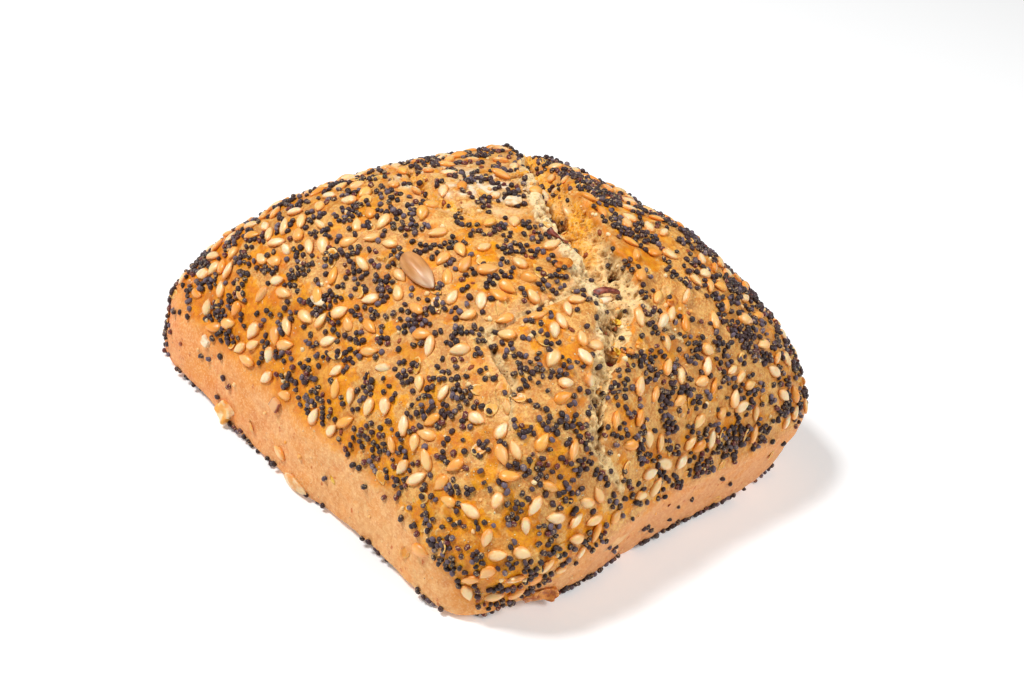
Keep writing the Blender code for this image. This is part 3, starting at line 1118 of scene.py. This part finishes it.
def lay(piece, spot, towards, along, lift, tip=0.0, upright=None):
    """Lays a piece where a line through the spot meets the bread, its X axis turned along this way.

    It lies flat on the surface, or its Z axis points the upright way if one is given.
    """
    towards = Vector(towards)
    start = Vector(spot) * MM - towards * LINE_START
    facing, middle = Vector(), None
    for x in (-AROUND, 0.0, AROUND):
        for y in (-AROUND, 0.0, AROUND):
            aside = towards.orthogonal().normalized()
            offset = (aside * x + aside.cross(towards) * y) * MM
            found, place, normal, _ = bread.ray_cast(start + offset, towards)
            facing += normal if found else Vector()
            middle = place if found and (x, y) == (0.0, 0.0) else middle
    facing = Vector(upright).normalized() if upright else facing.normalized()
    along = Vector(along)
    along = (along - facing * along.dot(facing)).normalized()
    basis = Matrix((along, facing.cross(along), facing)).transposed().to_4x4()
    rest = piece.data.attributes.new("rest", "FLOAT_VECTOR", "POINT")
    rest.data.foreach_set("vector", get_points(piece.data).ravel().astype(np.float32))
    tipped = Matrix.Rotation(math.radians(tip), 4, "Y")
    piece.data.transform(Matrix.Translation(middle + facing * lift * MM) @ basis @ tipped)
    lowest = min(vertex.co.z for vertex in piece.data.vertices)
    piece.data.transform(Matrix.Translation((0.0, 0.0, max(0.0, CLEAR_OF_FLOOR - lowest))))
    piece.data.shade_smooth()
    piece.data.update()


def own_places(recipe, x=1.0, y=1.0, z=1.0):
    """Makes a material read a piece's own places, from before it was laid down."""
    recipe.place = recipe.node("ShaderNodeAttribute", attribute_name="rest").outputs["Vector"]
    recipe.place = recipe.stretched(x, y, z)


def clouded(name, roughness, glow, size, first, second, span=(0.38, 0.62), detail=3.0, grain=0.6):
    """A material that goes from the first colour to the second in clouds of this size."""
    recipe = Recipe(name, roughness, glow)
    own_places(recipe)
    clouds = recipe.ramp(recipe.noise(size, detail, grain), *span)
    return recipe.finish(recipe.mix(clouds, first, second))


def bend(piece, angle, axis="Y"):
    radians = math.radians(angle)
    apply_modifier(piece, "SIMPLE_DEFORM", deform_method="BEND", deform_axis=axis, angle=radians)


def roughen(piece, size, far, seed=0.0):
    """Moves the vertices along their normals by noise of this size, both in millimetres."""
    shape, ways = get_points(piece.data), get_normals(piece.data)
    set_points(piece.data, shape + ways * noise_at(shape, size, seed)[:, None] * far * MM)


# %% [markdown]
# ### The sunflower kernel
# It is a flat drop of about 9 mm, blunt at one end and narrowing to the other, with shallow ridges.

# %% Model the kernel
KERNEL = ((1.18, 1.15), (1.20, 1.12), (1.16, 1.08), (1.10, 1.05), (1.05, 1.02), (1.00, 1.0), (0.94, 1.0),
          (0.86, 1.0), (0.78, 0.98), (0.68, 0.95), (0.55, 0.9))
kernel = ringed_seed("sunflower_kernel", 8.8, 3.8, 2.6, KERNEL, 28)
apply_modifier(kernel, "SUBSURF", levels=1, render_levels=1)
shape = get_points(kernel.data)
around = np.arctan2(shape[:, 2] / 1.3, shape[:, 1] / 2.0)
ridges = 0.022 * np.cos(around * 7.0) * (1.0 - (shape[:, 0] / (4.5 * MM)) ** 2)
shape[:, 1:] *= 1.0 + ridges[:, None]
set_points(kernel.data, shape)
roughen(kernel, 2.4, 0.10)
lay(kernel, (-25.2, -1.8, 39.0), TOP_DOWN, (-0.16, -1.0, 0.0), 0.80)

nutty = Recipe("kernel", 0.38, glow=(0.2, 0.5, 0.25, 0.8))
own_places(nutty, 0.16, 1.0, 1.0)
streaks = nutty.ramp(nutty.noise(0.9, 3.0, 0.6), 0.35, 0.65)
kernel_colour = nutty.mix(streaks, (194, 130, 70), (216, 156, 98))
tip_share = nutty.ramp(nutty.axis(0), 0.0, 0.16 * 4.4 * MM)
kernel_colour = nutty.mix(tip_share, kernel_colour, (238, 208, 176))
edges = nutty.ramp(nutty.noise(2.5, 2.0, 0.5, 2.0), 0.50, 0.66, 0.0, 0.6)
kernel_colour = nutty.mix(edges, kernel_colour, (172, 104, 58))
keep(kernel, nutty.finish(kernel_colour, None, nutty.bump(streaks, 0.05, 0.4)))

# %% [markdown]
# ### Flakes, husks and curls
# A flake is a thin disc with a ragged edge, which curls as it dries. It is a flat sphere, roughened and
# bent. Husks and curled crust are made the same way, so one function does for all of them. The bran flake
# and its pale lining stand in the tear, and the oat flake lies behind it.

# %% How a flake is made and laid
OVAL = ((1.0, 1.0),) * 5
STANDING = (-0.45, -0.40, 0.80)  # the way up of the bran flake and its lining


def flake(name, sizes, curl, material, spot, along, lift, towards=TOP_DOWN, tip=0.0, upright=None,
          rough=0.2, arch=0.0):
    """Bakes in one flake. It curls end to end by one angle, and arches in its own plane by another."""
    piece = ringed_seed(name, *sizes, OVAL, 18)
    apply_modifier(piece, "SUBSURF", levels=1, render_levels=1)
    roughen(piece, 1.1, rough, len(name))
    bend(piece, curl)
    if arch:
        bend(piece, arch, "Z")
    lay(piece, spot, towards, along, lift, tip, upright)
    keep(piece, material)


# %% Bran, oat and an open husk
beige = clouded("oat_flake", 0.5, (0.25, 0.6, 0.35, 0.6), 1.2, (232, 186, 128), (250, 226, 192))
brown = clouded("bran_flake", 0.42, (0.1, 0.4, 0.2, 0.4), 0.7, (92, 30, 24), (160, 82, 62))
flake("bran_flake", (7.0, 1.2, 0.45), -40.0, brown, (-4.7, -22.2, 41.0), (0.89, -0.40, 0.47), 1.5,
      upright=STANDING, arch=-130.0)
flake("bran_lining", (3.8, 1.4, 0.4), -50.0, beige, (-5.2, -23.4, 41.0), (0.89, -0.50, 0.40), 0.9,
      upright=STANDING)
flake("bran_curl", (2.9, 1.1, 0.5), -50.0, brown, (4.2, -36.0, 32.5), (0.5, -1.0, -0.4), 0.35, rough=0.3)
flake("oat_flake", (3.4, 2.7, 0.5), 40.0, beige, (-3.0, 1.2, 44.5), (1.0, -0.3, 0.0), 0.35)
flake("splinter", (2.6, 0.9, 0.4), 50.0, beige, (0.4, 1.8, 45.0), (0.5, 1.0, 0.0), 0.4, tip=25.0)
flake("open_husk", (3.3, 1.6, 0.4), -60.0, beige, (-35.7, 9.2, 30.1), (0.2, -1.0, 0.0), 0.3, rough=0.12)

# %% Golden husks
golden = clouded("golden_husk", 0.30, (0.3, 0.6, 0.1, 0.5), 0.8, (190, 124, 4), (246, 196, 72),
                 (0.40, 0.60))
flake("golden_husk", (2.6, 1.3, 0.35), -70.0, golden, (-3.4, -26.3, 39.0), (0.9, -0.9, 0.0), 0.3,
      rough=0.12)
flake("golden_chip", (2.4, 1.2, 0.35), -50.0, golden, (-7.6, -31.2, 37.0), (0.4, -1.0, 0.0), 0.35,
      tip=20.0, rough=0.12)
flake("green_sliver", (2.0, 0.8, 0.3), 20.0, golden, (-44.3, -9.3, 8.3), (0.0, -0.8, -0.6), 0.05,
      FROM_LEFT, rough=0.1)

# %% Curled and peeled crust
baked = clouded("curled_crust", 0.32, (0.2, 0.5, 0.2, 0.5), 1.0, (184, 92, 16), (234, 154, 62),
                (0.40, 0.60))
flake("crust_flap", (6.8, 4.4, 0.7), -80.0, baked, (-27.0, -44.5, 2.8), (1.0, 0.0, -0.05), 0.30,
      FROM_FRONT, rough=0.4)
flake("orange_curl", (2.6, 1.2, 0.8), -110.0, baked, (-6.9, -32.2, 37.5), (0.7, -0.7, 0.0), 0.45, rough=0.3)
flake("amber_flake", (3.2, 2.6, 0.5), 30.0, baked, (-7.8, -16.1, 44.2), (1.0, -0.4, 0.0), 0.32, rough=0.3)
flake("front_flake", (3.0, 2.2, 0.6), 30.0, baked, (7.8, -27.8, 39.4), (1.0, 0.4, 0.0), 0.35, rough=0.3)
flake("peeled_edge", (4.4, 1.0, 0.35), 50.0, brown, (-4.4, -10.9, 45.2), (0.35, -1.0, 0.0), 0.45,
      upright=(0.4, 0.0, 0.9), rough=0.25)

# %% [markdown]
# ### Seeds at the sides
# A linseed lies in a pore of the tear. A pale seed sticks out under the left side, and a flat one lies
# under the skin of the front side, so that only its rounded form and its darker rim show.

# %% Model the seeds at the sides
linseed = ringed_seed("linseed", 2.7, 1.3, 0.8, SLIM, 14)
lay(linseed, (-9.3, -31.5, 36.0), TOP_DOWN, (0.5, -1.0, 0.0), 1.1)
glossy = Recipe("linseed", 0.22)
own_places(glossy)
red_brown = glossy.mix(glossy.noise(0.8), (74, 16, 10), (112, 36, 20))
keep(linseed, glossy.finish(red_brown))

pale_seed = ringed_seed("pale_seed", 6.2, 2.9, 1.5, TEARDROP, 18)
lay(pale_seed, (-44.0, -1.6, 1.3), FROM_LEFT, (0.0, -1.0, 0.05), 0.15)
milky = clouded("pale_seed", 0.35, (0.5, 0.6, 0.35, 1.0), 1.6, (236, 208, 164), (226, 160, 84), (0.4, 0.65))
keep(pale_seed, milky)

hidden = ringed_seed("seed_under_skin", 6.2, 4.4, 1.3, SLIM, 24)
lay(hidden, (-12.4, -44.0, 8.9), FROM_FRONT, (1.0, 0.0, 0.35), -0.25)
veil = clouded("seed_under_skin", 0.5, (0.2, 0.5, 0.2, 0.8), 1.0, (226, 156, 84), (242, 190, 126),
               detail=4.0, grain=0.7)
keep(hidden, veil)

# %% [markdown]
# ### Chips and crumbs
# A chip of nut is a small block with bevelled, roughened edges. Crumbs and specks of bran are smaller
# still, so one rough little ball and one flat one are copied many times over, like the seeds.

# %% Model the chips of nut
def chip(name, sides, rough):
    only(bread)
    bpy.ops.mesh.primitive_cube_add(size=1.0)
    piece = bpy.context.object
    piece.name = name
    resize(piece, *(Vector(sides) * MM))
    apply_modifier(piece, "BEVEL", width=min(sides) * 0.22 * MM, segments=2)
    apply_modifier(piece, "SUBSURF", levels=2, render_levels=2)
    roughen(piece, 1.3, rough, len(name))
    return piece


large_chip = chip("nut_chip", (3.6, 3.2, 1.6), 0.6)
lay(large_chip, (-44.0, 18.5, 3.0), FROM_LEFT, (0.0, -0.6, 1.0), 0.25)
small_chip = chip("small_nut_chip", (2.2, 1.9, 0.9), 0.2)
lay(small_chip, (-44.0, 6.4, 13.0), FROM_LEFT, (0.0, -1.0, -0.2), 0.32)
meat = clouded("nut", 0.45, (0.35, 0.55, 0.25, 0.8), 2.2, (252, 226, 178), (242, 168, 60), (0.42, 0.62),
               detail=2.0, grain=0.5)
keep(large_chip, meat)

skinned = Recipe("skinned_nut", 0.45, glow=(0.3, 0.55, 0.25, 0.6))
own_places(skinned)
to_ends = skinned.ramp(skinned.maths("ABSOLUTE", skinned.axis(0)), 0.7 * MM, 1.0 * MM)
pale_meat = skinned.mix(skinned.noise(1.2), (216, 148, 88), (238, 184, 124))
keep(small_chip, skinned.finish(skinned.mix(to_ends, pale_meat, (150, 86, 64))))

crumb_lump = chip("crumb_lump", (1.7, 1.2, 0.8), 0.45)
lay(crumb_lump, (-44.8, 26.1, 12.9), FROM_LEFT, (0.0, -1.0, -0.3), 0.2)
keep(crumb_lump, beige)

# %% Model and scatter crumbs and specks of bran
only(bread)
bpy.ops.mesh.primitive_ico_sphere_add(subdivisions=2, radius=0.5 * MM)
crumb_master = bpy.context.object
roughen(crumb_master, 0.45, 0.22)
only(bread)
bpy.ops.mesh.primitive_ico_sphere_add(subdivisions=1, radius=0.5 * MM)
bran_master = bpy.context.object
resize(bran_master, 1.3, 0.8, 0.4)

CRUMB_ZONES = (
    (8.0, -26.5, 4.0, 5.0),     # right of the tear
    (11.8, -30.5, 3.0, 7.0),
    (2.0, 6.0, 8.0, 3.0),       # behind it
    (-13.0, 14.0, 8.0, 2.5),
    (16.0, -8.0, 8.0, 3.5),
)
# The name, the ball, how many lie on a square millimetre, the smallest and the largest, and two colours
BITS = (
    ("crumbs", crumb_master, 0.035, 0.35, 0.95, (254, 228, 176), (240, 164, 64)),
    ("bran_specks", bran_master, 0.010, 0.45, 1.15, (124, 52, 26), (176, 92, 44)),
)
rng = np.random.default_rng(14)
for name, master, often, small, large, first, second in BITS:
    density = often * (0.25 * on_side + seeded) * zoned(centre_points, CRUMB_ZONES)
    places, normals = surface.draw(rng, density)
    free = [index for index, place in enumerate(places) if not near_sesame(place, 2.0, 1.3)]
    places, normals, count = places[free], normals[free], len(free)
    turns = random_turns(rng, normals, 0.2, 0.2)
    sizes = rng.uniform(small, large, count)
    bits = many(name, [master], np.zeros(count, int), places + normals * 0.05 * MM, turns, sizes,
                {"tone": rng.random(count)})
    discard(master)
    bit = Recipe(name, 0.45, (0.2, 0.5, 0.2, 0.4))
    keep(bits, bit.finish(bit.mix(bit.attribute("tone"), first, second)))

# %% [markdown]
# ## Floor, light and camera
# A broad soft light stands high, to the left and behind. A larger and weaker one stands in front, to the
# right, so the shading is gentle. The camera looks down on the near corner, and is rolled a little.

# %% Floor and light
bpy.ops.object.select_all(action="DESELECT")
bpy.ops.mesh.primitive_plane_add(size=4.0, location=(0.0, 0.0, 0.0))
ground = bpy.context.object
ground.name = "floor"
paper = Recipe("pale_floor", 0.85)
paper.shader.inputs["Emission Color"].default_value = (1.0, 1.0, 1.0, 1.0)
paper.shader.inputs["Emission Strength"].default_value = 0.18
ground.data.materials.append(paper.finish(colour(246, 246, 246)))
ground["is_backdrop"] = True

sky = bpy.data.worlds.new("studio")
sky.use_nodes = True
sky.node_tree.nodes["Background"].inputs["Color"].default_value = (1.0, 0.93, 0.85, 1.0)
sky.node_tree.nodes["Background"].inputs["Strength"].default_value = 0.12
bpy.context.scene.world = sky


def soft_light(name, place, size, power):
    """A square lamp at this place in millimetres, aimed at the roll's middle."""
    lamp = bpy.data.lights.new(name, "AREA")
    lamp.size, lamp.energy, lamp.color = size * MM, power, (0.97, 0.985, 1.0)
    lamp_object = bpy.data.objects.new(name, lamp)
    lamp_object.location = Vector(place) * MM
    aim = Vector((0.0, 0.0, 20.0)) * MM - lamp_object.location
    lamp_object.rotation_euler = aim.to_track_quat("-Z", "Y").to_euler()
    bpy.context.scene.collection.objects.link(lamp_object)


soft_light("key", (-360.0, 260.0, 660.0), 170.0, 5.5)
soft_light("fill", (190.0, -440.0, 530.0), 340.0, 2.75)

# %% Camera
AZIMUTH, ELEVATION, ROLL = math.radians(-50.82), math.radians(37.37), math.radians(13.83)
DISTANCE = 284.9 * MM
AIM = Vector((-0.04, 0.46, 0.0)) * MM

level = math.cos(ELEVATION)
back = Vector((math.sin(AZIMUTH) * level, -math.cos(AZIMUTH) * level, math.sin(ELEVATION)))
right_way = Vector((math.cos(AZIMUTH), math.sin(AZIMUTH), 0.0))
up_way = back.cross(right_way)
lens = bpy.data.cameras.new("camera")
lens.lens, lens.sensor_width = 53.7, 36.0
lens.clip_start = 0.01
lens.shift_x, lens.shift_y = 0.0329, 0.0604
camera = bpy.data.objects.new("camera", lens)
turned_right = right_way * math.cos(ROLL) + up_way * math.sin(ROLL)
turned_up = up_way * math.cos(ROLL) - right_way * math.sin(ROLL)
camera.matrix_world = Matrix.Translation(AIM + back * DISTANCE) @ Matrix(
    (turned_right, turned_up, back)).transposed().to_4x4()
bpy.context.scene.collection.objects.link(camera)
bpy.context.scene.camera = camera
bpy.context.scene.view_settings.view_transform = "Standard"

# %% Sizes, and the end
new_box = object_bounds()
grown = (*(cad_box[0] - new_box[0]), *(new_box[1] - cad_box[1]))
print("grown by, mm:", [round(value / MM, 2) for value in grown])
